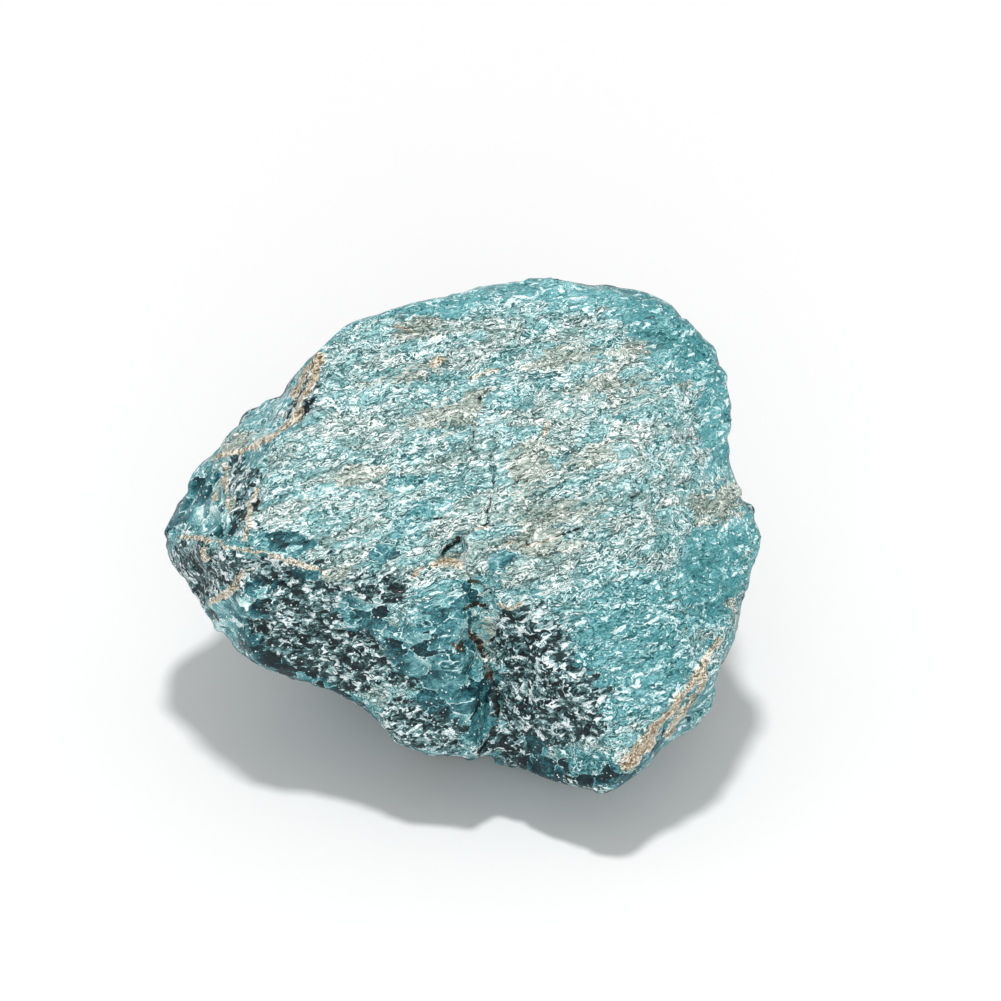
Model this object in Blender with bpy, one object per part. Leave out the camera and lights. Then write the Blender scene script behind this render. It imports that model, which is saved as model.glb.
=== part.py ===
"""A rough piece of blue apatite, as it was broken from its vein: one solid stone.

It is shaped in the stone's own frame: x runs along the stone, y up its broad face and z out of that face.
The broad face follows the layers of the crystal mass, and the dark faces cut across them. Last, the stone
is leaned back onto the small flat spot that it rests on. Sizes are in millimetres until then.
"""

import math
from itertools import pairwise

import bmesh
import bpy
from mathutils import Matrix, Vector, noise

MM = 0.001

# Widest outline of the stone, clockwise from the top: x, y and how far it lies behind the broad face.
OUTLINE = [
    (9.7, 26.4, 12.0),
    (15.0, 24.6, 12.0),
    (21.4, 22.8, 11.0),
    (25.8, 18.2, 10.0),
    (27.3, 12.8, 9.0),
    (26.8, 7.2, 8.0),
    (28.3, 2.8, 7.0),
    (30.2, -0.5, 6.0),
    (28.4, -7.0, 6.0),
    (26.6, -12.7, 7.0),
    (24.6, -19.2, 7.0),
    (18.4, -23.8, 5.0),
    (14.4, -26.2, 4.5),
    (5.7, -24.2, 8.0),
    (0.7, -23.0, 9.0),
    (-4.0, -22.5, 9.0),
    (-8.6, -18.9, 9.0),
    (-14.5, -16.2, 9.0),
    (-22.6, -12.5, 12.0),
    (-25.4, -9.7, 13.0),
    (-27.4, -5.9, 14.0),
    (-30.4, -1.4, 15.0),
    (-29.4, 1.8, 15.0),
    (-27.3, 5.6, 15.0),
    (-24.0, 8.6, 14.0),
    (-20.0, 12.4, 13.0),
    (-14.6, 18.3, 10.0),
    (-11.9, 20.6, 10.0),
    (-4.8, 22.8, 11.0),
    (3.0, 25.2, 12.0),
]

# The rings of the lump before it is broken: how far each stands in front of the outline, and its scale.
RINGS = (
    (-28.0, 0.62),
    (-21.0, 0.78),
    (-15.0, 0.89),
    (-9.0, 0.95),
    (-4.0, 0.985),
    (0.0, 1.0),
    (4.0, 0.985),
    (8.0, 0.95),
    (14.0, 0.88),
    (20.0, 0.8),
)

# Flat breaks: a point on each, and the way that it faces.
BREAKS = {
    "broad face": ((-4.0, -6.0, 0.1), (0.01, 0.15, 1.0)),
    "broad face, upper part": ((0.0, 9.0, -2.2), (0.02, 0.38, 1.0)),
    "broad face, lower right": ((4.2, -7.5, 0.3), (0.14, 0.03, 1.0)),
    "broad face, right": ((20.0, 8.0, -4.0), (0.6, 0.12, 1.0)),
    "top bevel": ((-2.0, 21.6, -6.1), (-0.25, 1.5, 1.0)),
    "left end": ((-22.8, -1.5, -1.0), (-1.41, 0.87, 1.0)),
    "dark front face": ((-13.3, -4.7, 0.0), (-0.315, -0.56, 1.0)),
    "lower left corner": ((-24.0, -2.5, -2.0), (-1.9, -1.07, 1.0)),
    "lower right edge": ((20.2, -20.0, -3.6), (1.0, -0.85, 0.75)),
    "back": ((0.0, 10.0, -28.5), (0.0, 0.45, -0.89)),
    "back, right": ((22.0, 5.0, -21.0), (0.6, 0.2, -0.77)),
    "back, left": ((-20.0, 2.0, -25.5), (-0.55, 0.1, -0.83)),
    "under, left": ((-17.5, -16.5, -16.0), (-0.45, -0.75, -0.48)),
    "under, right": ((20.0, -20.0, -14.0), (0.5, -0.65, -0.57)),
    "top, behind": ((5.0, 24.0, -16.0), (0.1, 0.85, -0.5)),
}

# Breaks with a step: the face goes through these three points, and the step along the first two.
STEPPED_BREAKS = {
    "right of the front lobe": ((1.7, -11.0, -3.6), (3.2, -23.0, -9.0), (15.9, -23.5, -1.4)),
    "behind the left ridge": ((-17.8, 9.3, -5.0), (-25.6, 7.0, -15.3), (-14.8, 17.0, -6.5)),
}
BREAK_BLOCK = 60.0

# Lumps with a few flat sides, and a rounder pit: centre, radii and turn about z in degrees.
LUMP_ROUNDNESS = 1
PIT_ROUNDNESS = 3
LUMPS = {
    "front lobe": ((-2.7, -14.0, -10.4), (7.6, 10.6, 8.6), 10.0),
    "left knob": ((-19.4, 9.7, -15.2), (6.4, 4.1, 6.2), 30.0),
}
PITS = {
    "pocket": ((-1.0, -2.4, 0.6), (1.9, 1.3, 2.8), 50.0),
}

# The hackly surface. Chips are longest along the grain, which rises to the right across the broad face.
GRAIN_TURN = math.radians(17.0)
GRAIN_SQUEEZE = (0.4, 1.0, 0.9)
CHIPS = ((4.6, 0.5), (2.3, 0.26))  # size and depth
CHIP_DEPTH_ON_BROAD_FACE = 0.5  # as a share of their depth elsewhere
SWELL_SIZE = 11.0
SWELL_DEPTH = 0.7

LEAN = math.radians(50.0)  # how far the broad face leans up from lying level
REST_DEPTH = 31.2  # from the middle of the broad face straight down to the flat spot, once leaned

VOXEL = 0.55
TRIANGLES = 9400

COLOUR = (0.105, 0.318, 0.337, 1.0)  # linear
ROUGHNESS = 0.42


def clear_scene():
    for old in list(bpy.data.objects):
        bpy.data.objects.remove(old, do_unlink=True)


def new_object(name, bm):
    mesh = bpy.data.meshes.new(name)
    bm.to_mesh(mesh)
    bm.free()
    obj = bpy.data.objects.new(name, mesh)
    bpy.context.scene.collection.objects.link(obj)
    return obj


def helper(name, bm):
    """A cutter, or a lump to be joined: it shapes the stone and isn't part of it."""
    obj = new_object(name, bm)
    obj.hide_render = True
    obj.display_type = "WIRE"
    return obj


def outline_ring(bm, away, scale):
    verts = [bm.verts.new((x * scale, y * scale, away - behind)) for x, y, behind in OUTLINE]
    return [bm.edges.new(ends) for ends in pairwise([*verts, verts[0]])]


def lump_of_rock():
    bm = bmesh.new()
    rings = [outline_ring(bm, away, scale) for away, scale in RINGS]
    for lower, upper in pairwise(rings):
        bmesh.ops.bridge_loops(bm, edges=lower + upper)
    for end in (rings[0], rings[-1]):
        bmesh.ops.edgeloop_fill(bm, edges=end)
    bmesh.ops.triangulate(bm, faces=bm.faces)
    bmesh.ops.recalc_face_normals(bm, faces=bm.faces)
    return bm


def cleave(bm, point, facing):
    """Breaks off everything in front of the plane through the point."""
    cut = bmesh.ops.bisect_plane(
        bm,
        geom=[*bm.verts, *bm.edges, *bm.faces],
        dist=1e-4,
        plane_co=point,
        plane_no=facing,
        clear_outer=True,
    )
    rim = [g for g in cut["geom_cut"] if isinstance(g, bmesh.types.BMEdge)]
    bmesh.ops.holes_fill(bm, edges=rim, sides=0)
    bmesh.ops.triangulate(bm, faces=[f for f in bm.faces if len(f.verts) > 3])


def stepped_break(name, points):
    """A block whose underside lies in the break's face and whose side is its step."""
    top, foot, beyond = (Vector(point) for point in points)
    along = (foot - top).normalized()
    facing = along.cross(beyond - top).normalized()
    if facing.z < 0.0:
        facing = -facing
    across = facing.cross(along)
    if across.dot(beyond - top) < 0.0:
        across = -across
    place = Matrix.Translation(top + (across + facing) * BREAK_BLOCK / 2)
    place @= Matrix((across, along, facing)).transposed().to_4x4()
    bm = bmesh.new()
    bmesh.ops.create_cube(bm, size=BREAK_BLOCK, matrix=place)
    bmesh.ops.recalc_face_normals(bm, faces=bm.faces)
    return helper(name, bm)


def swollen_form(name, roundness, centre, radii, turn):
    place = Matrix.Translation(centre) @ Matrix.Rotation(math.radians(turn), 4, "Z")
    place @= Matrix.Diagonal((*radii, 1.0))
    bm = bmesh.new()
    bmesh.ops.create_icosphere(bm, subdivisions=roundness, radius=1.0, matrix=place)
    return helper(name, bm)


def boolean(stone, other, operation):
    modifier = stone.modifiers.new(other.name, "BOOLEAN")
    modifier.operation = operation
    modifier.solver = "EXACT"
    modifier.object = other


def applied(stone):
    """The stone's mesh with its modifiers applied. The object and its helpers are removed."""
    bm = bmesh.new()
    bm.from_object(stone, bpy.context.evaluated_depsgraph_get())
    clear_scene()
    return bm


def even_mesh(stone):
    modifier = stone.modifiers.new("even mesh", "REMESH")
    modifier.mode = "VOXEL"
    modifier.voxel_size = VOXEL
    bm = applied(stone)
    bmesh.ops.smooth_vert(
        bm, verts=bm.verts, factor=0.5, use_axis_x=True, use_axis_y=True, use_axis_z=True
    )
    return bm


def chips(at, size):
    """Height of flat chips at a point, each tilted and raised in its own way, from about -1 to 1."""
    at = at / size
    _, middles = noise.voronoi(at)
    middle = middles[0]
    own = noise.cell_vector(middle * 31.7) - Vector((0.5, 0.5, 0.5))
    return 2.6 * own.dot(at - middle) + 0.5 * (own.x + own.y)


def hackle(bm):
    """Roughens the breaks: broad swells, with flat chips on them."""
    bm.normal_update()
    grain = Matrix.Diagonal(GRAIN_SQUEEZE) @ Matrix.Rotation(-GRAIN_TURN, 3, "Z")
    moves = []
    for vert in bm.verts:
        swell = SWELL_DEPTH * noise.noise(vert.co / SWELL_SIZE)
        rough = sum(depth * chips(grain @ vert.co, size) for size, depth in CHIPS)
        broad = max(0.0, vert.normal.z) ** 4
        rough *= 1.0 - (1.0 - CHIP_DEPTH_ON_BROAD_FACE) * broad
        moves.append(vert.normal * (swell + rough))
    for vert, move in zip(bm.verts, moves, strict=True):
        vert.co += move


def fewer_triangles(stone):
    modifier = stone.modifiers.new("fewer triangles", "DECIMATE")
    modifier.ratio = TRIANGLES / sum(len(face.vertices) - 2 for face in stone.data.polygons)
    return applied(stone)


def apatite_material():
    material = bpy.data.materials.new("apatite")
    material.use_nodes = True
    shader = material.node_tree.nodes["Principled BSDF"]
    shader.inputs["Base Color"].default_value = COLOUR
    shader.inputs["Roughness"].default_value = ROUGHNESS
    shader.inputs["Metallic"].default_value = 0.0
    return material


def main():
    clear_scene()
    bm = lump_of_rock()
    for point, facing in BREAKS.values():
        cleave(bm, point, facing)
    rough = new_object("rough", bm)
    for name, points in STEPPED_BREAKS.items():
        boolean(rough, stepped_break(name, points), "DIFFERENCE")
    for name, form in LUMPS.items():
        boolean(rough, swollen_form(name, LUMP_ROUNDNESS, *form), "UNION")
    for name, form in PITS.items():
        boolean(rough, swollen_form(name, PIT_ROUNDNESS, *form), "DIFFERENCE")
    bm = even_mesh(rough)
    hackle(bm)
    bm = fewer_triangles(new_object("hackled", bm))

    # The flat spot is level once the stone leans on it, and the origin is under the middle of its box.
    lean = Matrix.Rotation(LEAN, 3, "X")
    down = lean.inverted() @ Vector((0.0, 0.0, -1.0))
    cleave(bm, down * REST_DEPTH, down)
    leaned = [lean @ vert.co for vert in bm.verts]
    low = [min(at[axis] for at in leaned) for axis in range(3)]
    high = [max(at[axis] for at in leaned) for axis in range(3)]
    foot = Vector(((low[0] + high[0]) / 2, (low[1] + high[1]) / 2, low[2]))
    bmesh.ops.scale(bm, vec=(MM, MM, MM), verts=bm.verts)
    stone = new_object("stone", bm)
    stone.rotation_euler.x = LEAN
    stone.location = -foot * MM
    stone.data.materials.append(apatite_material())


main()
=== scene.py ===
import math

import bmesh
import bpy
import numpy as np
from mathutils import Matrix, Vector, noise


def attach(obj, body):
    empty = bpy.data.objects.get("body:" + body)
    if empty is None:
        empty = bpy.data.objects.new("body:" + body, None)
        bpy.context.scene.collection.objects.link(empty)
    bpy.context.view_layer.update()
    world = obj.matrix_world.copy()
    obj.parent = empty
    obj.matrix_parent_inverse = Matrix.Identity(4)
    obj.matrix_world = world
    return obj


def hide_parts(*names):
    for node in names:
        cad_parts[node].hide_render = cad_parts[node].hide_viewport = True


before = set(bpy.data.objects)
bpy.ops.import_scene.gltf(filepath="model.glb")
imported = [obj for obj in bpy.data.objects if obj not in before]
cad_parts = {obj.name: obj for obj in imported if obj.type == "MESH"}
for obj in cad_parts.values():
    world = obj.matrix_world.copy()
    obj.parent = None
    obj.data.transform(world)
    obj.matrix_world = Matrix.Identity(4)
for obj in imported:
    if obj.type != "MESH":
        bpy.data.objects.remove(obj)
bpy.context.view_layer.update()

# The camera looks down on the stone from in front, at the photograph's angle, through a long lens that
# keeps its shape nearly free of perspective. It aims a little to the right of the middle of the stone's
# broad face, and a little above it.
FACE_MIDDLE = Vector((0.00016687, -0.00852894, 0.0312))
CAMERA_HEIGHT = math.radians(40.0)
CAMERA_DISTANCE = 0.9
VIEW_WIDTH = 0.1001
AIM_RIGHT = 0.00375
AIM_UP = 0.00295
to_camera = Vector((0.0, -math.cos(CAMERA_HEIGHT), math.sin(CAMERA_HEIGHT)))
picture_up = Vector((0.0, math.sin(CAMERA_HEIGHT), math.cos(CAMERA_HEIGHT)))
aim = FACE_MIDDLE + Vector((AIM_RIGHT, 0.0, 0.0)) + picture_up * AIM_UP
camera = bpy.data.objects.new("camera", bpy.data.cameras.new("camera"))
camera.data.sensor_width = 36.0
camera.data.lens = camera.data.sensor_width * CAMERA_DISTANCE / VIEW_WIDTH
camera.data.clip_start = 0.01
camera.location = aim + to_camera * CAMERA_DISTANCE
camera.rotation_euler = (math.pi / 2 - CAMERA_HEIGHT, 0.0, 0.0)
bpy.context.scene.collection.objects.link(camera)
bpy.context.scene.camera = camera

# The stone: one lump of blue apatite, broken off and left rough. It grew in thin layers, so its broad face
# is streaked and stepped along the grain, and the breaks across the layers are dark and hackly. It rests
# loose on its flat spot. Here it is a fine skin of the solid's own form, chipped, cracked and veined.

# Places on it are in millimetres in its own frame, from the middle of the broad face: x runs along the
# stone, y up the broad face and z out of it
MM = 0.001
LEAN = math.radians(50.0)
GRAIN_TURN = math.radians(17.0)
SKIN_MESH = 0.00034
own_to_world = Matrix.Translation(FACE_MIDDLE) @ Matrix.Rotation(LEAN, 4, "X") @ Matrix.Scale(MM, 4)
world_to_own = own_to_world.inverted()

rock = bmesh.new()
rock.from_mesh(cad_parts["stone"].data)
bmesh.ops.remove_doubles(rock, verts=rock.verts, dist=1e-6)
coarse = bpy.data.objects.new("coarse", bpy.data.meshes.new("coarse"))
rock.to_mesh(coarse.data)
rock.free()
bpy.context.scene.collection.objects.link(coarse)
even = coarse.modifiers.new("even", "REMESH")
even.mode = "VOXEL"
even.voxel_size = SKIN_MESH
rock = bmesh.new()
rock.from_object(coarse, bpy.context.evaluated_depsgraph_get())
bpy.data.objects.remove(coarse, do_unlink=True)
bmesh.ops.transform(rock, matrix=world_to_own, verts=rock.verts)


def smooth(mesh, verts, times):
    for _ in range(times):
        bmesh.ops.smooth_vert(
            mesh, verts=verts, factor=0.5, use_axis_x=True, use_axis_y=True, use_axis_z=True
        )


def places(mesh):
    return np.array([vert.co for vert in mesh.verts])


def facings(mesh):
    mesh.normal_update()
    return np.array([vert.normal for vert in mesh.verts])


# The remesh leaves small steps that a little smoothing takes off. Which way each whole break faces is read
# from a copy that is smoothed far more.
STEP_SMOOTHINGS = 2
BREAK_SMOOTHINGS = 40
smooth(rock, rock.verts, STEP_SMOOTHINGS)
at = places(rock)
outwards = facings(rock)
plain = rock.copy()
smooth(plain, plain.verts, BREAK_SMOOTHINGS)
facing = facings(plain)
plain.free()


def ramp_up(low, high, value):
    """0 up to low, 1 from high, and smooth between them."""
    share = np.clip((value - low) / (high - low), 0.0, 1.0)
    return share * share * (3.0 - 2.0 * share)


def noises(points, size, seed):
    """Smooth noise, about -1 to 1, with lumps of the given size. Another seed gives other lumps."""
    shift = Vector((seed, seed, seed))
    return np.array([noise.noise(Vector(point) / size + shift) for point in points])


# The noise that moves points would start from the clock, and so differ in each run, without a seed
WANDER_SEED = 7
noise.seed_set(WANDER_SEED)


def wander(points, size, far):
    """The points moved up to `far`, neighbours together."""
    return points + far * np.array([noise.noise_vector(Vector(point) / size) for point in points])


def cells(points, size):
    """The middle of the chip that each point is on, and three random shares of that chip."""
    middles = np.empty((len(points), 3))
    shares = np.empty((len(points), 3))
    for i, point in enumerate(points):
        middle = noise.voronoi(Vector(point) / size)[1][0]
        middles[i] = middle * size
        shares[i] = noise.cell_vector(middle * 31.7)
    return middles, shares


def chips(points, size):
    """Height of flat chips, each tilted and raised in its own way, from about -1 to 1."""
    middles, shares = cells(points, size)
    lean = shares - 0.5
    return 2.6 * np.sum(lean * (points - middles), axis=1) / size + 0.5 * (lean[:, 0] + lean[:, 1])


def from_lines(points, lines):
    """How far each point lies outside the nearest line, seen from in front. A line is its places in order,
    and half its width."""
    best = np.full(len(points), 1e9)
    for line, half_width in lines:
        for start, end in zip(line, line[1:]):
            start = np.array(start, float)
            run = np.array(end, float) - start
            along = np.clip(((points[:, :2] - start) @ run) / (run @ run), 0.0, 1.0)
            gap = points[:, :2] - (start + along[:, None] * run)
            best = np.minimum(best, np.hypot(gap[:, 0], gap[:, 1]) - half_width)
    return best


def in_patches(points, patches):
    """1 in the middle of an oval patch, 0 at its edge, less outside. A patch is the x and y of its middle,
    half its length, half its width, and how far it is turned, in degrees."""
    best = np.full(len(points), -4.0)
    for x, y, half_length, half_width, turn in patches:
        cosine = math.cos(math.radians(turn))
        sine = math.sin(math.radians(turn))
        right = points[:, 0] - x
        up = points[:, 1] - y
        along = (cosine * right + sine * up) / half_length
        across = (cosine * up - sine * right) / half_width
        best = np.maximum(best, 1.0 - np.hypot(along, across))
    return best


# `broad` is 1 on the broad face, and `front` is 1 all over the side that faces forward. Chips on the broad
# face are long along the grain and thin across it. On the breaks they are blockier, in two sizes, and the
# small ones are lower on the back.
LAYER_SQUEEZE = np.array((0.38, 1.0, 1.4))
BREAK_SQUEEZE = np.array((0.65, 1.0, 1.0))
CHIP = 3.4
CHIP_RISE = 0.34
SMALL_CHIP = 1.7
SMALL_CHIP_SHIFT = 40.0
SMALL_CHIP_RISE = 0.18
BACK_SMALL_CHIP_RISE = 0.06
LAYER_CHIP = 1.9
LAYER_CHIP_RISE = 0.16
LAYER_FLAKE = 1.0
LAYER_FLAKE_RISE = 0.1
turn_to_grain = np.array(Matrix.Rotation(-GRAIN_TURN, 3, "Z"))
layered = (at @ turn_to_grain.T) * LAYER_SQUEEZE
broken = (at @ turn_to_grain.T) * BREAK_SQUEEZE
broad = np.clip(facing[:, 2], 0.0, 1.0) ** 4
front = ramp_up(0.0, 0.25, facing[:, 2])
small_rise = BACK_SMALL_CHIP_RISE + (SMALL_CHIP_RISE - BACK_SMALL_CHIP_RISE) * front
small_chips = small_rise * chips(broken + SMALL_CHIP_SHIFT, SMALL_CHIP)
on_breaks = CHIP_RISE * chips(broken, CHIP) + small_chips
on_layers = LAYER_CHIP_RISE * chips(layered, LAYER_CHIP) + LAYER_FLAKE_RISE * chips(layered, LAYER_FLAKE)
relief = on_breaks * (1.0 - 0.9 * broad) + on_layers * broad

# Layers of the broad face broke off at different levels, with a low ledge from each to the next
LEDGE_RISE = 0.2
LEDGE_WIDTH = 2.6
SMALL_LEDGE_WIDTH = 1.0
level = 4.0 * noises(layered, LEDGE_WIDTH, 5.0) + 1.6 * noises(layered, SMALL_LEDGE_WIDTH, 9.0)
ledge = np.floor(level) + ramp_up(0.75, 1.0, level - np.floor(level))
relief += LEDGE_RISE * (ledge - 0.7 * level) * broad

# Cracks in the broad face, and gaps in the hollow between the two lobes in front. They bend a little to
# each side of their lines, and there are none on the back.
CRACK_DEPTH = 0.45
BEND_LENGTH = 0.8
BEND = 0.25
NO_CRACK = 9.0
CRACKS = (
    (((1.7, 13.5), (1.3, 11.7), (1.0, 9.8), (0.8, 8.2), (1.5, 7.2)), 0.05),
    (((2.8, 7.4), (3.1, 5.5), (2.8, 3.0), (2.4, 1.7), (2.5, 0.6)), 0.07),
    (((3.5, 0.7), (2.0, 0.5), (0.7, 0.0), (-0.5, -0.8)), 0.08),
    (((3.9, -1.3), (5.0, -0.9), (6.8, -1.4), (8.4, -1.1), (10.5, -0.3), (12.0, 0.2)), 0.04),
    (((2.1, -12.6), (2.5, -14.2), (3.1, -16.5), (3.4, -19.0), (2.9, -21.0), (1.7, -22.4)), 0.14),
    (((1.0, -10.3), (1.6, -11.2), (2.4, -12.8)), 0.22),
    (((-0.9, -11.7), (0.1, -12.0), (0.2, -11.4)), 0.28),
    (((0.3, -4.4), (1.3, -5.5), (2.6, -6.2)), 0.16),
    (((0.5, -7.8), (1.4, -7.3), (2.2, -7.9)), 0.18),
    (((-9.6, 8.9), (-8.9, 8.5), (-8.0, 8.3), (-7.0, 8.9)), 0.01),
    (((-13.2, 4.0), (-12.9, 2.8), (-12.4, 1.6)), 0.01),
    (((5.2, 4.5), (5.6, 5.1), (6.0, 5.5)), 0.08),
    (((-2.0, 17.5), (-1.4, 18.7), (-0.5, 19.6)), 0.02),
    (((-4.8, 1.0), (-3.2, 1.0), (-1.7, 1.3)), 0.06),
    (((16.9, 3.2), (17.7, 3.8)), 0.05),
    (((-1.9, -2.2), (-1.3, -1.6), (-0.6, -1.1)), 0.10),
    (((20.3, -19.9), (21.4, -18.3), (22.8, -16.6)), 0.04),
)
bent = wander(at, BEND_LENGTH, BEND)
crack = from_lines(bent, CRACKS) + NO_CRACK * (1.0 - front)
relief -= CRACK_DEPTH * (1.0 - ramp_up(-0.1, 0.3, crack))

# Thin veins of iron stain along the ridges, and a crust of it at the lower right. They run through to the
# back, where a noise keeps only parts of them.
VEIN_RISE = 0.16
VEINS = (
    (((-28.7, -0.7), (-26.5, -0.9), (-24.4, -1.2), (-24.0, -1.7)), 0.2),
    (((-24.0, -1.7), (-21.5, -2.0), (-18.5, -2.6), (-16.5, -3.4), (-14.2, -4.0), (-13.3, -4.7)), 0.2),
    (((-24.8, 7.1), (-22.6, 7.8), (-20.4, 8.6), (-18.6, 9.7), (-16.9, 11.2)), 0.3),
    (((-16.9, 11.2), (-15.9, 13.2), (-14.8, 15.2), (-14.3, 17.4)), 0.40),
    (((-17.2, 13.6), (-16.0, 15.4), (-14.9, 17.0)), 0.45),
    (((-23.9, 6.4), (-23.9, 4.5), (-23.5, 2.0)), 0.22),
    (((-20.8, 4.2), (-21.3, 2.2), (-21.3, 0.5), (-22.0, -1.0)), 0.26),
    (((-26.0, -1.8), (-25.8, -3.2)), 0.16),
    (((-22.2, -4.3), (-22.9, -5.7), (-24.0, -6.6), (-25.3, -7.2)), 0.34),
    (((16.4, -23.4), (17.3, -22.3), (18.6, -21.4)), 0.75),
    (((18.4, -21.0), (19.6, -19.4), (21.4, -17.7)), 0.5),
    (((20.6, -20.8), (21.5, -19.3), (22.8, -17.6), (23.9, -15.9), (24.2, -14.3)), 0.34),
    (((20.8, -17.7), (22.6, -15.9), (24.0, -13.8), (24.6, -12.4), (25.7, -11.1)), 0.36),
    (((-2.9, -3.6), (-1.6, -3.1), (-0.4, -3.4)), 0.42),
    (((-4.2, -3.7), (-4.8, -4.4)), 0.25),
    (((4.2, -1.3), (6.8, -1.5), (9.5, -0.8)), 0.14),
    (((2.6, 0.4), (0.8, 0.0)), 0.14),
    (((1.3, 11.5), (1.1, 9.8)), 0.16),
    (((-24.4, 5.2), (-25.2, 3.0)), 0.2),
    (((-2.2, 17.2), (-3.0, 16.8)), 0.35),
    (((3.6, -7.6), (4.9, -7.9), (5.9, -7.3)), 0.25),
    (((8.4, 10.6), (8.2, 9.4)), 0.3),
    (((0.6, 15.2), (2.2, 15.8), (3.6, 16.2)), 0.12),
    (((-7.2, 20.6), (-6.0, 20.2), (-4.8, 19.8)), 0.15),
)
vein = from_lines(bent, VEINS)
back_vein = 3.0 * np.abs(noises(at, 9.0, 31.0)) + 0.9 * noises(at, 5.0, 37.0) - 0.05
vein = np.where(front > 0.5, vein, np.maximum(vein, back_vein))
relief += VEIN_RISE * (1.0 - ramp_up(-0.3, 0.2, vein))

# The relief fades out just above the floor, so that the flat spot stays flat. Where the stone turns away
# from the front it is smoothed once more, because its outline is blunter than its chips.
NO_RELIEF_BELOW = 0.3
FULL_RELIEF_ABOVE = 1.3
TURNING = 0.45
OUTLINE_SMOOTHINGS = 2
up_in_own = np.array(world_to_own.to_3x3().normalized() @ Vector((0.0, 0.0, 1.0)))
floor_gap = at @ up_in_own + FACE_MIDDLE.z / MM
relief *= ramp_up(NO_RELIEF_BELOW, FULL_RELIEF_ABOVE, floor_gap)
for vert, move in zip(rock.verts, outwards * relief[:, None]):
    vert.co += Vector(move)
turning = [vert for vert, out_of_face in zip(rock.verts, facing[:, 2]) if abs(out_of_face) < TURNING]
smooth(rock, turning, OUTLINE_SMOOTHINGS)

# Sharp edges stand out of a smoothed copy of the stone, and hollows lie under it. In the colour this is
# painted light: a painted highlight on the edges and painted shade in the hollows.
EDGE_SMOOTHINGS = 5
plain = rock.copy()
smooth(plain, plain.verts, EDGE_SMOOTHINGS)
edge = np.sum((places(rock) - places(plain)) * outwards, axis=1)
plain.free()

# Each chip is of one kind: dark slate, glassy teal, plain teal, stained beige, or else the usual aqua.
# Along the upper and right rim the teal is calmer, and chips of any kind can be paler or dimmer. Two of the
# pale patches, in the glassy hollow at the left end, are painted highlights.
SLATE = (
    (-26.0, -4.0, 4.4, 3.2, -20.0),
    (-22.3, 3.4, 4.2, 1.5, 98.0),
    (-15.0, -10.0, 9.0, 4.6, -34.0),
    (-17.5, -4.6, 4.6, 1.6, -15.0),
    (-8.3, -5.8, 4.0, 1.7, -8.0),
    (-12.0, -2.2, 1.1, 0.7, 0.0),
    (-18.6, -1.0, 2.6, 0.9, -15.0),
    (-4.5, -19.6, 4.6, 2.8, -10.0),
    (-6.4, -15.2, 2.4, 1.3, -20.0),
    (8.8, -14.4, 8.2, 3.6, -55.0),
    (4.6, -18.2, 3.2, 4.4, 0.0),
    (9.5, -18.6, 4.6, 3.2, -20.0),
    (5.8, -9.6, 2.4, 1.5, -40.0),
    (7.5, -24.4, 7.0, 1.2, -14.0),
    (-15.9, 13.6, 3.2, 0.9, 62.0),
)
GLASS = (
    (-26.8, 3.6, 1.2, 1.8, -20.0),
    (-25.8, -0.2, 1.0, 0.7, 0.0),
    (-23.2, -8.6, 2.2, 2.8, 20.0),
    (-18.6, -1.3, 2.9, 1.1, -15.0),
    (-16.4, -4.5, 1.5, 0.8, -15.0),
    (-10.6, -8.3, 3.0, 1.1, -33.0),
    (-20.8, -6.2, 1.2, 0.8, -60.0),
    (-4.2, -12.6, 4.6, 2.6, -34.0),
    (-1.4, -16.6, 3.6, 2.6, -35.0),
    (-1.6, -8.4, 2.8, 1.8, -20.0),
    (1.6, -17.5, 1.8, 3.9, 8.0),
    (-0.2, -7.2, 1.3, 2.4, -20.0),
    (-8.6, -2.6, 2.0, 1.0, -10.0),
    (9.0, -23.9, 5.6, 1.2, -14.0),
    (13.8, -24.8, 3.0, 1.0, 10.0),
    (7.0, -21.2, 2.0, 0.7, -8.0),
    (-17.0, -14.4, 8.0, 1.1, -32.0),
    (3.6, -3.6, 1.6, 0.9, -30.0),
    (22.6, -19.0, 1.0, 1.2, 0.0),
)
RIM = (
    (25.4, -4.6, 4.6, 5.6, 0.0),
    (28.6, 1.6, 1.3, 3.8, 20.0),
    (11.0, 24.0, 9.0, 2.2, -4.0),
    (20.6, 21.2, 9.4, 4.2, -45.0),
    (26.4, 12.0, 2.8, 7.2, 0.0),
    (-1.0, 22.8, 5.4, 1.2, 15.0),
    (26.6, 6.0, 1.6, 2.6, 20.0),
)
TEAL = (
    (-3.4, -10.8, 2.7, 1.1, -15.0),
    (2.0, -5.0, 1.7, 0.9, -30.0),
    (12.5, -23.8, 3.4, 1.4, -14.0),
    (7.2, -20.9, 4.2, 0.8, -8.0),
    (-5.0, 5.0, 2.0, 1.0, 15.0),
    (-3.0, 2.4, 2.2, 0.8, 15.0),
    (-5.6, 0.4, 3.0, 0.8, 10.0),
    (3.8, 15.2, 1.9, 0.9, 10.0),
    (27.4, -1.7, 0.9, 1.6, 0.0),
    (7.6, -6.8, 1.7, 0.9, 0.0),
    (15.5, 11.0, 2.4, 0.9, 10.0),
    (17.0, -12.0, 7.5, 8.5, 0.0),
    (-20.0, -2.0, 4.0, 2.0, -15.0),
    (-24.0, -9.0, 3.0, 3.0, 20.0),
    (-1.0, -13.0, 6.0, 8.0, 0.0),
)
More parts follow.
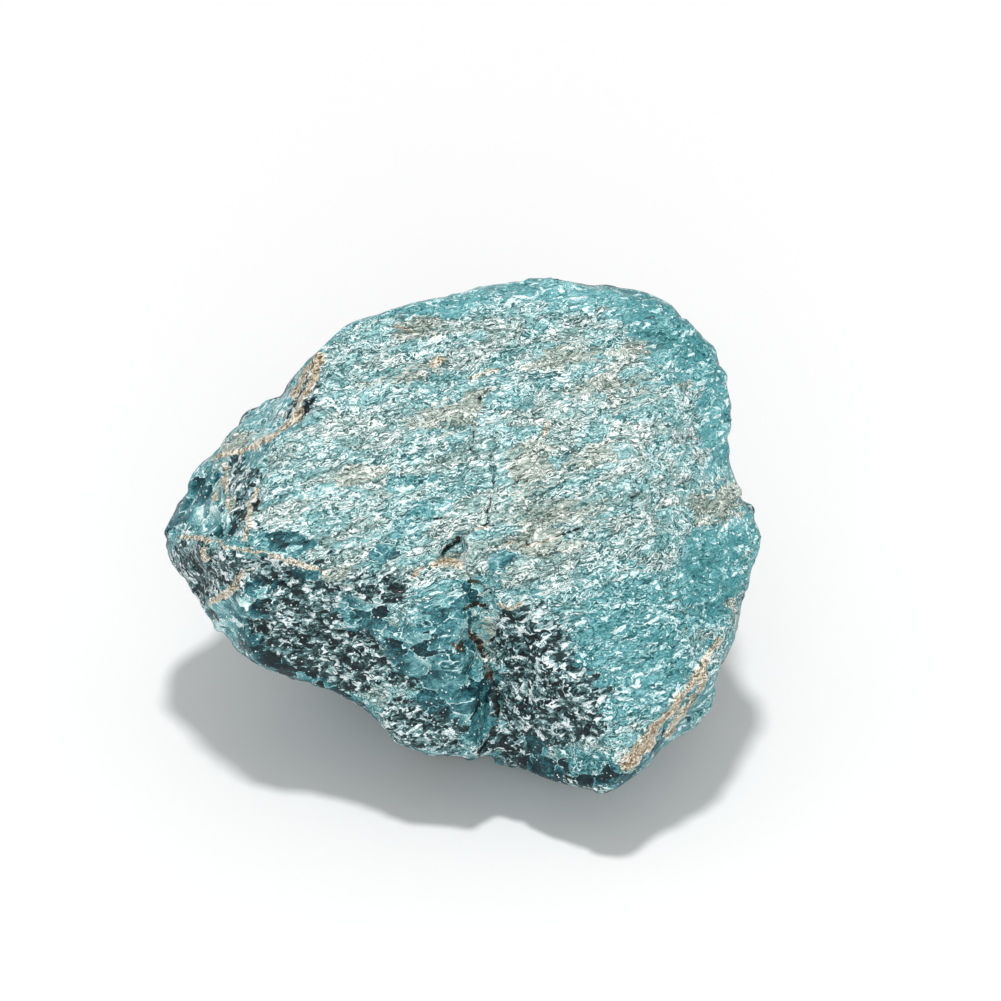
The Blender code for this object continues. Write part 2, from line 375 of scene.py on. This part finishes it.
BEIGE = (
    (-24.2, 3.6, 1.2, 3.4, 8.0),
    (-21.0, 2.0, 0.8, 2.4, 12.0),
    (-25.6, -2.2, 2.4, 1.0, -10.0),
    (-16.0, -4.4, 1.6, 1.0, -15.0),
    (-2.5, 11.3, 3.2, 1.5, 10.0),
    (-6.0, 15.5, 2.6, 1.2, 0.0),
    (-4.0, 20.2, 3.6, 0.9, 5.0),
    (1.6, 13.0, 1.6, 2.2, 0.0),
    (7.0, 6.6, 2.4, 3.6, -10.0),
    (9.0, 1.5, 4.8, 1.7, 8.0),
    (15.0, 14.6, 3.2, 1.6, 10.0),
    (10.0, 17.2, 4.2, 1.3, 10.0),
    (7.5, -1.6, 4.4, 1.7, 5.0),
    (-10.4, 5.2, 3.2, 1.1, 15.0),
    (26.2, 2.3, 3.0, 2.4, 20.0),
    (27.4, -7.4, 1.1, 1.6, 0.0),
    (3.4, -10.6, 3.0, 2.4, -50.0),
    (-11.6, -4.5, 2.2, 0.9, -10.0),
    (-13.0, -6.4, 1.3, 0.9, -30.0),
    (-21.3, -4.0, 0.7, 1.6, 10.0),
    (-1.6, -3.2, 1.7, 0.9, 0.0),
    (-22.9, 9.0, 2.6, 1.2, 30.0),
    (17.5, 18.4, 3.2, 1.0, 10.0),
    (-8.4, -11.4, 1.6, 1.0, -30.0),
    (22.0, 14.6, 1.4, 0.8, 10.0),
    (13.0, 7.5, 3.0, 1.4, 15.0),
)
# Pale patches. The two in the glassy hollow at the left end, at x -23.6 and -21.9, are painted highlights.
PALE_AND_HIGHLIGHT = (
    (-19.8, 11.2, 4.2, 2.0, 42.0),
    (-23.6, -8.6, 1.8, 3.2, 20.0),
    (-24.9, 1.0, 1.0, 2.0, 0.0),
    (-19.4, 0.4, 1.8, 1.4, 0.0),
    (-16.5, 1.0, 1.4, 0.8, 0.0),
    (-13.0, 3.4, 3.2, 1.6, 15.0),
    (0.0, 2.2, 4.2, 1.5, 12.0),
    (10.6, 3.4, 2.0, 2.0, 10.0),
    (-12.0, 7.8, 4.0, 0.8, 12.0),
    (-16.6, 9.0, 1.5, 1.3, 0.0),
    (-21.9, -7.8, 0.5, 2.2, 8.0),
    (10.0, -5.0, 3.4, 1.0, 20.0),
    (7.0, -8.6, 2.4, 0.7, -35.0),
    (-8.5, -14.8, 0.9, 0.6, 0.0),
    (20.0, 6.6, 3.6, 1.6, 12.0),
)
DIM = (
    (20.0, 21.6, 9.0, 2.6, -45.0),
    (25.4, -5.2, 3.5, 5.0, 0.0),
    (27.4, 11.0, 1.6, 6.0, 0.0),
    (9.0, -23.8, 7.0, 1.6, -10.0),
    (-17.0, -14.0, 8.0, 1.5, -32.0),
    (-9.5, 11.3, 3.0, 0.8, 17.0),
    (-4.5, 13.2, 3.4, 0.6, 12.0),
    (-4.2, 21.2, 3.0, 1.1, 0.0),
    (19.0, 15.3, 3.2, 0.8, 12.0),
    (18.2, 9.2, 2.4, 0.7, 12.0),
    (26.4, 2.6, 2.2, 1.2, 20.0),
    (-6.0, -6.6, 3.0, 2.0, -10.0),
)

# A point takes its kind partly from the middle of its own chip, so that the patches end along chips. The
# back has no patches: there the kinds come from noise.
LAYER_COLOUR_CHIP = 1.6
BREAK_COLOUR_CHIP = 1.7
HOME_SHARE = 0.55
BORDER_BEND_LENGTH = 2.6
BORDER_BEND = 0.9
layer_middles, chip_shares = cells(layered, LAYER_COLOUR_CHIP)
break_middles = cells(broken, BREAK_COLOUR_CHIP)[0]
home = np.where(broad[:, None] > 0.5, layer_middles / LAYER_SQUEEZE, break_middles / BREAK_SQUEEZE)
home = home @ turn_to_grain
spot = wander(HOME_SHARE * home + (1.0 - HOME_SHARE) * at, BORDER_BEND_LENGTH, BORDER_BEND)


def kind(patches, on_back):
    """In front the patches say where this kind of chip is, and `on_back` says it on the back."""
    return in_patches(spot, patches) * front + on_back * (1.0 - front)


upright = 1.0 - np.abs(facing[:, 2])
slate = kind(SLATE, 0.9 * upright - 0.45 + 1.2 * noises(home, 6.0, 11.0))
rim = in_patches(spot, RIM) * front
teal = kind(TEAL + RIM, -0.25 + 1.5 * noises(home, 5.0, 23.0))
glass = kind(GLASS, -0.2 + 1.8 * noises(home, 4.0, 53.0))
beige = kind(BEIGE, -0.45 + 1.5 * noises(home, 5.0, 29.0))
# Paler and dimmer patches in front; among the paler ones are the painted highlights of the left end's
# glassy hollow
pale_dim_and_highlight = ramp_up(-0.2, 0.4, in_patches(spot, PALE_AND_HIGHLIGHT)) - ramp_up(-0.2, 0.4, in_patches(spot, DIM))
pale_dim_and_highlight = pale_dim_and_highlight * front + noises(home, 4.0, 41.0) * (1.0 - front)

# In front every break is teal, and glassy too where it isn't near slate, except along the stone's upper and
# right outline
teal = np.maximum(teal, (0.5 - 2.0 * broad) * front)
upper_or_right = ramp_up(5.0, 8.0, at[:, 1]) + ramp_up(20.0, 23.0, at[:, 0])
near_slate = 2.0 * np.clip(slate + 0.3, 0.0, 1.0)
glass = np.maximum(glass, (0.3 - 2.0 * broad - near_slate - upper_or_right) * front)

mesh = bpy.data.meshes.new("rough_apatite")
bmesh.ops.transform(rock, matrix=own_to_world, verts=rock.verts)
for vert in rock.verts:
    vert.co.z = max(vert.co.z, 0.0)
rock.to_mesh(mesh)
rock.free()
mesh.shade_smooth()
stone = bpy.data.objects.new("rough_apatite", mesh)
bpy.context.scene.collection.objects.link(stone)
marks = {
    "edge": edge,
    "broad": broad,
    "crack": crack,
    "vein": vein,
    "slate": slate,
    "rim": rim,
    "teal": teal,
    "glass": glass,
    "beige": beige,
    "pale_dim_and_highlight": pale_dim_and_highlight,
    "chip tone": chip_shares[:, 0],
    "chip hue": chip_shares[:, 1],
}
for name, values in marks.items():
    layer = mesh.attributes.new(name, "FLOAT", "POINT")
    layer.data.foreach_set("value", values.astype(np.float32))

apatite = bpy.data.materials.new("apatite")
apatite.use_nodes = True
tree = apatite.node_tree
shader = tree.nodes["Principled BSDF"]


def add(kind_of_node, inputs, output=0, **settings):
    """A new node with these inputs, linked or set, and one of its outputs."""
    node = tree.nodes.new("ShaderNode" + kind_of_node)
    for key, value in settings.items():
        setattr(node, key, value)
    for key, value in inputs.items():
        if isinstance(value, bpy.types.NodeSocket):
            tree.links.new(value, node.inputs[key])
        else:
            node.inputs[key].default_value = value
    return node.outputs[output]


def maths(operation, first, second):
    return add("Math", {0: first, 1: second}, operation=operation)


def vectors(operation, first, second, output=0):
    return add("VectorMath", {0: first, 1: second}, output=output, operation=operation)


def total(start, *terms):
    """The start and every term's share of its value, added up."""
    for share, value in terms:
        start = add("Math", {0: value, 1: share, 2: start}, operation="MULTIPLY_ADD")
    return start


def fade(low, high, value):
    """0 at low, 1 at high, and smooth between them. Low can be the larger of the two."""
    inputs = {"Value": value, "From Min": low, "From Max": high}
    return add("MapRange", inputs, interpolation_type="SMOOTHSTEP")


def blend(share, under, over):
    return add("Mix", {"Factor": share, "A": under, "B": over}, output=2, data_type="RGBA")


def linear(colour):
    return [((channel / 255.0 + 0.055) / 1.055) ** 2.4 for channel in colour] + [1.0]


def palette(value, *stops):
    """The colour for a value, from stops that are each a value and a colour."""
    node = tree.nodes.new("ShaderNodeValToRGB")
    tree.links.new(value, node.inputs["Fac"])
    stops = [(place, linear(colour)) for place, colour in stops]
    elements = node.color_ramp.elements
    elements[0].position, elements[0].color = stops[0]
    elements[1].position, elements[1].color = stops[-1]
    for place, colour in stops[1:-1]:
        elements.new(place).color = colour
    return node.outputs["Color"]


def mark(name):
    return add("Attribute", {}, output="Fac", attribute_name=name)


object_place = add("TexCoord", {}, output="Object")


def along_grain(stretch):
    """Places in millimetres, squeezed so that what is round in them is drawn out along the grain."""
    turn = (Matrix.Rotation(LEAN, 3, "X") @ Matrix.Rotation(GRAIN_TURN, 3, "Z")).to_euler()
    inputs = {
        "Vector": object_place,
        "Location": FACE_MIDDLE,
        "Rotation": turn,
        "Scale": [MM * axis for axis in stretch],
    }
    return add("Mapping", inputs, vector_type="TEXTURE")


def clouds(place, scale, detail, output=0):
    inputs = {"Vector": place, "Scale": scale, "Detail": detail, "Roughness": 0.6}
    return add("TexNoise", inputs, output=output)


def either_way(cloud_colour):
    """The three channels of a cloud, from -0.5 to 0.5, as a way to push a place."""
    return vectors("SUBTRACT", cloud_colour, (0.5, 0.5, 0.5))


def pushed(place, push, far):
    return add("VectorMath", {0: push, 1: far, 2: place}, operation="MULTIPLY_ADD")


# The layers wave and curl a little, so the patterns along them are drawn on places pushed out of line
plain_place = along_grain((1.0, 1.0, 1.0))
grain_place = along_grain((3.2, 1.0, 0.7))
wave = either_way(clouds(plain_place, 0.5, 3.0, output="Color"))
curl = add("TexNoise", {"Vector": grain_place, "Scale": 1.6, "Detail": 1.0}, output="Color")
curl = either_way(curl)
layer_place = pushed(pushed(grain_place, wave, (1.0, 1.7, 1.0)), curl, (0.35, 0.5, 0.35))
break_place = vectors("ADD", along_grain((1.4, 1.0, 0.9)), curl)


def cell_texture(place, size, feature="F1"):
    node = tree.nodes.new("ShaderNodeTexVoronoi")
    node.feature = feature
    tree.links.new(place, node.inputs["Vector"])
    node.inputs["Scale"].default_value = 1.0 / size
    return node


def own_tone(texture):
    """A random tone for each cell, so for each flake or facet."""
    return add("SeparateColor", {"Color": texture.outputs["Color"]})


def own_tilt(texture, place, size):
    """How a flake's or facet's own tilt raises or lowers a point on it."""
    lean = either_way(texture.outputs["Color"])
    away = vectors("SUBTRACT", place, texture.outputs["Position"])
    tilt = vectors("DOT_PRODUCT", lean, away, output="Value")
    return maths("MULTIPLY", tilt, 1.0 / size)


# Thin flakes of three sizes lie along the layers. The breaks show angular flakes and broad facets instead.
FLAKE = 1.1
SMALL_FLAKE = 0.36
TINY_FLAKE = 0.15
ANGULAR_FLAKE = 0.45
FACET = 2.0
GLINT_CELL = 1.0 / 1.7
flakes = cell_texture(layer_place, FLAKE)
flake = own_tone(flakes)
flake_tilt = own_tilt(flakes, layer_place, FLAKE)
small_flakes = cell_texture(layer_place, SMALL_FLAKE)
small_flake = own_tone(small_flakes)
small_tilt = own_tilt(small_flakes, layer_place, SMALL_FLAKE)
tiny_flake = own_tone(cell_texture(layer_place, TINY_FLAKE))
angular_flake = own_tone(cell_texture(break_place, ANGULAR_FLAKE))
facets = cell_texture(break_place, FACET)
facet = own_tone(facets)
facet_tilt = own_tilt(facets, break_place, FACET)
to_facet_edge = cell_texture(break_place, FACET, "DISTANCE_TO_EDGE").outputs["Distance"]
to_glint = cell_texture(plain_place, GLINT_CELL).outputs["Distance"]

# Streaks along the layers, painted highlights along the lines where facets meet, light flecks, white specks
# painted as glints, and a ragged value that breaks up the borders of colours
streaks = clouds(layer_place, 0.9, 2.0)
# Painted highlights along the lines where facets meet, on parts of the streaks
outline = maths("MULTIPLY", fade(0.04, 0.01, to_facet_edge), fade(0.46, 0.60, streaks))
fleck = fade(0.84, 0.90, small_flake)
# Small white specks painted into the colour as glints
painted_glint = maths("MULTIPLY", fade(0.19, 0.12, to_glint), fade(0.28, 0.38, small_flake))
ragged = total(-0.5, (0.55, streaks), (0.45, small_flake))


def ledge_highlight_and_shadow(scale, seed):
    """Painted light along thin ledges of the layers: each a painted highlight beside a painted shadow,
    where a noise is about 0.5.
    """
    place = vectors("ADD", layer_place, (seed, seed, seed))
    height = add("TexNoise", {"Vector": place, "Scale": scale, "Detail": 1.0, "Roughness": 0.5})
    wide = 0.008 + 0.026 * scale
    above = fade(0.5 - 0.2 * wide, 0.5 + 0.2 * wide, height)
    not_far_above = fade(0.5 + 1.3 * wide, 0.5 + 0.5 * wide, height)
    below = fade(0.5 + 0.2 * wide, 0.5 - 0.2 * wide, height)
    not_far_below = fade(0.5 - 1.3 * wide, 0.5 - 0.5 * wide, height)
    return maths("MULTIPLY", above, not_far_above), maths("MULTIPLY", below, not_far_below), height


broad_ledge_highlight, broad_ledge_shadow, ledge_height = ledge_highlight_and_shadow(0.9, 0.0)
thin_ledge_highlight, thin_ledge_shadow, _ = ledge_highlight_and_shadow(3.4, 20.0)
fine_ledge_highlight, fine_ledge_shadow, _ = ledge_highlight_and_shadow(4.6, 40.0)
# Painted highlights and painted shadows along the ledges, the thin ones only where the streak noise is high
threaded = fade(0.40, 0.55, streaks)
lights = maths("MAXIMUM", broad_ledge_highlight, maths("MULTIPLY", thin_ledge_highlight, threaded))
darks = maths("MAXIMUM", broad_ledge_shadow, maths("MULTIPLY", thin_ledge_shadow, threaded))
fine = maths("SUBTRACT", fine_ledge_highlight, fine_ledge_shadow)
# All the painted ledge highlights and shadows, as one value for the tone
lines = total(maths("MULTIPLY", lights, 0.70), (-0.60, darks), (0.34, fine))
rougher = fade(0.42, 0.56, clouds(layer_place, 0.35, 2.0))

# How light the stone is: lined on the broad face, flecked on slate chips, clear on glassy chips, and calmer
# than lined on teal chips, most of all along the rim. Painted light is mixed into all of these: the painted
# highlights and shadows of the ledges, painted highlights where facets meet, and the painted highlight of
# sharp edges with painted shade in hollows.
lined = total(
    -0.13, (0.19, flake), (0.22, small_flake), (0.45, tiny_flake), (0.08, streaks),
    (total(0.80, (0.20, rougher)), lines), (0.32, fleck), (0.14, mark("chip tone")), (1.2, mark("edge")),
    (0.10, mark("pale_dim_and_highlight"))
)
flecked = total(
    -0.42, (0.80, angular_flake), (0.25, small_flake), (0.30, tiny_flake), (0.20, facet), (0.22, lights),
    (0.40, outline), (1.6, mark("edge")), (0.2, mark("pale_dim_and_highlight"))
)
clear = total(
    0.05, (0.38, facet), (0.9, facet_tilt), (0.10, angular_flake), (0.20, streaks), (0.18, broad_ledge_highlight),
    (0.55, outline), (0.12, fine), (1.0, mark("edge")), (0.22, mark("pale_dim_and_highlight")),
    (-0.12, fade(-0.1, 0.3, mark("slate")))
)
calm = total(0.14, (0.66, lined), (0.10, mark("pale_dim_and_highlight")))
along_rim = maths("MULTIPLY", fade(-0.3, 0.5, mark("rim")), 0.42)
to_rim_tone = total(total(0.38, (0.30, facet)), (-1.0, calm))
off_broad_face = fade(0.75, 0.45, mark("broad"))
calm = total(
    calm, (along_rim, to_rim_tone), (0.30, fleck), (0.30, maths("MULTIPLY", outline, off_broad_face))
)

aqua = palette(
    lined, (0.0, (46, 92, 94)), (0.2, (88, 139, 141)), (0.5, (134, 187, 189)), (0.7, (160, 209, 210)),
    (0.85, (198, 235, 235)), (1.0, (248, 255, 254))
)
grey_aqua = palette(
    lined, (0.0, (54, 80, 78)), (0.2, (98, 130, 127)), (0.5, (148, 181, 177)), (0.7, (180, 207, 202)),
    (0.85, (214, 231, 227)), (1.0, (250, 253, 250))
)
stained_beige = palette(
    total(0.12, (0.72, lined)), (0.0, (62, 76, 70)), (0.25, (112, 132, 124)), (0.5, (162, 180, 170)),
    (0.75, (200, 212, 202)), (1.0, (250, 250, 244))
)
vein_tan = palette(
    lined, (0.0, (66, 50, 30)), (0.25, (138, 112, 78)), (0.5, (188, 160, 120)), (0.75, (216, 200, 168)),
    (1.0, (250, 244, 228))
)
vein_cream = palette(
    lined, (0.0, (84, 78, 60)), (0.3, (156, 148, 122)), (0.6, (204, 198, 174)), (1.0, (252, 250, 240))
)
plain_teal = palette(
    calm, (0.0, (24, 78, 83)), (0.25, (62, 130, 135)), (0.5, (97, 166, 171)), (0.75, (149, 204, 207)),
    (1.0, (236, 252, 252))
)
glassy_teal = palette(
    clear, (0.0, (10, 34, 40)), (0.2, (20, 66, 74)), (0.4, (48, 110, 118)), (0.6, (96, 158, 164)),
    (0.8, (160, 208, 208)), (1.0, (240, 252, 250))
)
dark_slate = palette(
    flecked, (0.0, (14, 27, 30)), (0.3, (32, 56, 59)), (0.5, (72, 108, 111)), (0.65, (128, 171, 174)),
    (0.88, (246, 254, 254))
)
# The cracks' colour: brown dirt, and near black as painted shade in them
crack_dirt_and_shade = palette(small_flake, (0.2, (22, 26, 26)), (0.8, (112, 90, 66)))
# The white of the painted glints
GLINT_WHITE = linear((240, 246, 246))


def is_kind(name, low, high, raggedness):
    """Where chips of this kind are, with a ragged border."""
    return fade(low, high, total(mark(name), (raggedness, ragged)))


hue = total(maths("MULTIPLY", mark("chip hue"), 0.6), (0.6, streaks))
is_glass = is_kind("glass", -0.03, 0.03, 0.4)
in_crack = total(mark("crack"), (0.5, ragged))
in_vein = total(
    mark("vein"), (-0.26, maths("SUBTRACT", streaks, 0.5)), (-0.12, maths("SUBTRACT", small_flake, 0.5))
)

# Each kind is laid over the one before, then the veins, the dirt and painted shade in the cracks, and the
# white specks painted as glints
colour = blend(fade(0.45, 0.85, hue), aqua, grey_aqua)
colour = blend(is_kind("teal", -0.05, 0.15, 0.8), colour, plain_teal)
colour = blend(is_kind("beige", -0.1, 0.4, 1.4), colour, stained_beige)
colour = blend(is_kind("slate", -0.03, 0.03, 0.5), colour, dark_slate)
colour = blend(is_glass, colour, glassy_teal)
vein_colour = blend(fade(-0.12, -0.42, in_vein), vein_cream, vein_tan)
colour = blend(fade(0.04, -0.04, in_vein), colour, vein_colour)
colour = blend(fade(0.06, -0.06, in_crack), colour, crack_dirt_and_shade)
colour = blend(painted_glint, colour, GLINT_WHITE)
tree.links.new(colour, shader.inputs["Base Color"])

# Flakes differ in gloss, and the finest relief, flatter on glassy chips, is bump
gloss = add("MapRange", {"Value": small_flake, "To Min": 0.22, "To Max": 0.55})
tree.links.new(gloss, shader.inputs["Roughness"])
shader.inputs["Specular IOR Level"].default_value = 0.25
fine_relief = total(
    maths("MULTIPLY", flake_tilt, 0.20), (0.14, small_tilt), (0.10, fade(0.46, 0.54, ledge_height))
)
fine_relief = maths("MULTIPLY", fine_relief, total(1.0, (-0.75, is_glass)))
bump = add("Bump", {"Strength": 1.0, "Distance": MM, "Height": fine_relief})
tree.links.new(bump, shader.inputs["Normal"])
mesh.materials.append(apatite)

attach(stone, "root")
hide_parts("stone")

# The floor: one flat, matt white board, laid under the stone and far wider than the camera's view. It is no
# part of the stone.
FLOOR_REACH = 3.0
FLOOR_WHITE = (0.9, 0.9, 0.9, 1.0)
floor_mesh = bpy.data.meshes.new("floor")
board = bmesh.new()
bmesh.ops.create_grid(board, x_segments=1, y_segments=1, size=FLOOR_REACH)
board.to_mesh(floor_mesh)
board.free()
floor = bpy.data.objects.new("floor", floor_mesh)
bpy.context.scene.collection.objects.link(floor)
floor_paint = bpy.data.materials.new("floor")
floor_paint.use_nodes = True
floor_shader = floor_paint.node_tree.nodes["Principled BSDF"]
floor_shader.inputs["Base Color"].default_value = FLOOR_WHITE
floor_shader.inputs["Roughness"].default_value = 0.9
floor_shader.inputs["Specular IOR Level"].default_value = 0.0
floor_mesh.materials.append(floor_paint)

# The lights: a small round lamp straight above the stone, for a shadow with a soft edge, a wide soft box
# low in front of it, and even white from all round.
LAMP_HEIGHT = 1.2
LAMP_SIZE = 0.13
LAMP_POWER = 7.6
BOX_AWAY = 1.5
BOX_HEIGHT = 0.75
BOX_SIZE = 1.3
BOX_POWER = 9.0
ALL_ROUND = 0.5


def area_light(name, shape, size, power, place):
    light = bpy.data.objects.new(name, bpy.data.lights.new(name, "AREA"))
    light.data.shape = shape
    light.data.size = size
    light.data.energy = power
    light.location = place
    bpy.context.scene.collection.objects.link(light)
    return light


area_light("lamp", "DISK", LAMP_SIZE, LAMP_POWER, (0.0, 0.0, LAMP_HEIGHT))
soft_box = area_light("soft_box", "SQUARE", BOX_SIZE, BOX_POWER, (0.0, -BOX_AWAY, BOX_HEIGHT))
soft_box.rotation_euler = (math.pi / 2 - math.atan2(BOX_HEIGHT, BOX_AWAY), 0.0, 0.0)
world = bpy.data.worlds.new("studio")
bpy.context.scene.world = world
world.use_nodes = True
world.node_tree.nodes["Background"].inputs["Color"].default_value = (1.0, 1.0, 1.0, 1.0)
world.node_tree.nodes["Background"].inputs["Strength"].default_value = ALL_ROUND
bpy.context.scene.view_settings.view_transform = "Standard"
